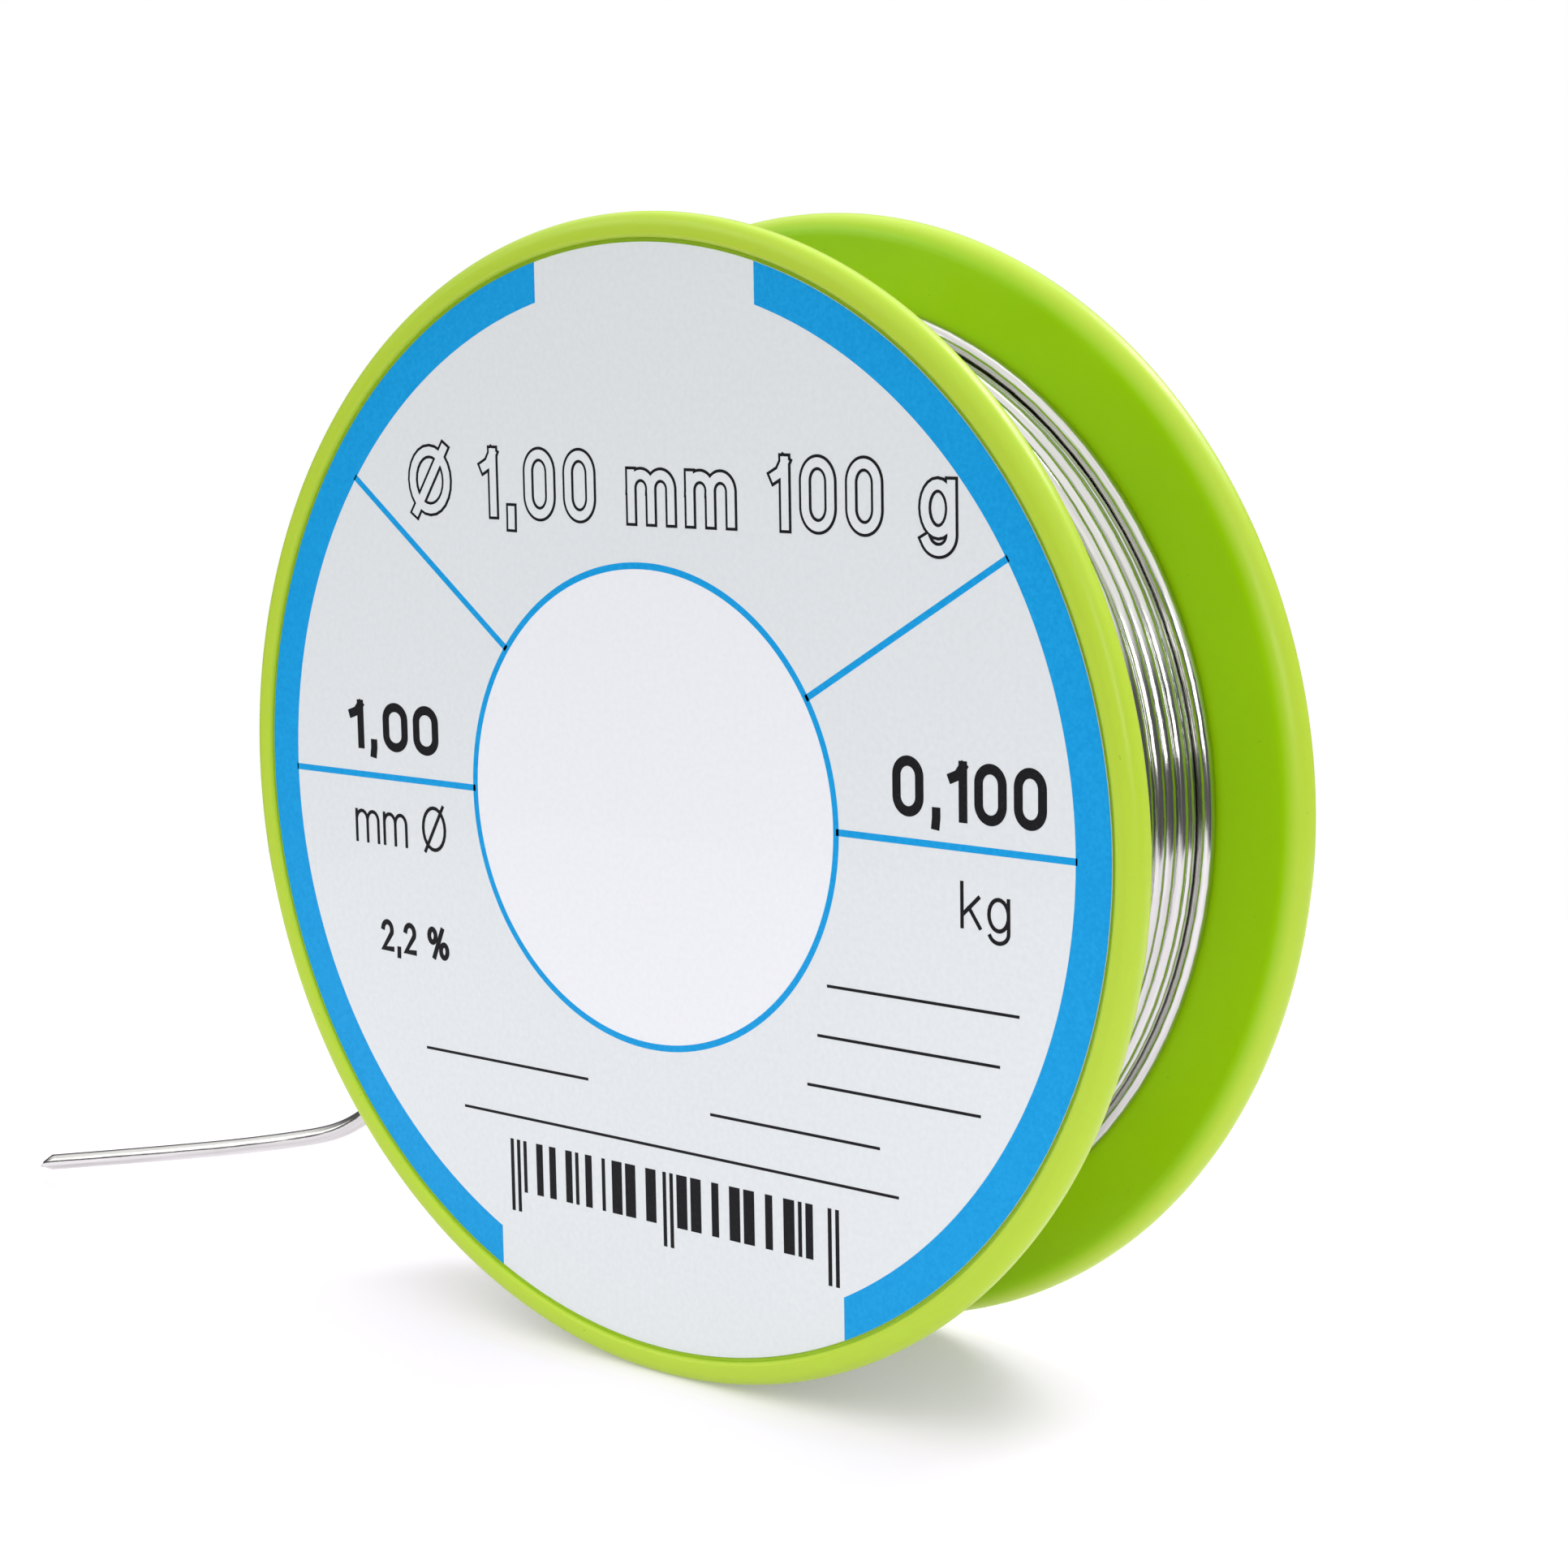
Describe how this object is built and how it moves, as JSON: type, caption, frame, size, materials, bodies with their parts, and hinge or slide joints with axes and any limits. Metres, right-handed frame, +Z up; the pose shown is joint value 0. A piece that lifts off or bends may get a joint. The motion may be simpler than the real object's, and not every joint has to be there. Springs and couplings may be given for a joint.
{
  "type": "solder wire spool",
  "caption": "Small two-flange spool of flux-cored solder wire: moulded halves plugged together at the hub, round sticker on the front, wound wire with a free end, bore for a spindle.",
  "frame": {"origin": "on the axis of the spindle bore, halfway between the outer faces of the two flanges", "axes": "+Y along the spool's axis from the stickered front flange to the rear flange, +Z up with the spool standing on its rims, +X to the right of someone who reads the sticker"},
  "size_m": [0.0873, 0.016, 0.06],
  "materials": {
    "spool_plastic": "satin lime-green moulded polystyrene",
    "label_paper": "printed self-adhesive paper, light blue ring and lines",
    "solder_wire": "bright drawn tin alloy",
    "flux": "amber rosin"
  },
  "bodies": {
    "root": {"front_spool_half": "spool_plastic", "rear_spool_half": "spool_plastic", "label_sticker": "label_paper", "wire_winding": "solder_wire", "wire_start": "solder_wire", "wire_free_end": "solder_wire", "flux_core": "flux"}
  },
  "joints": []
}
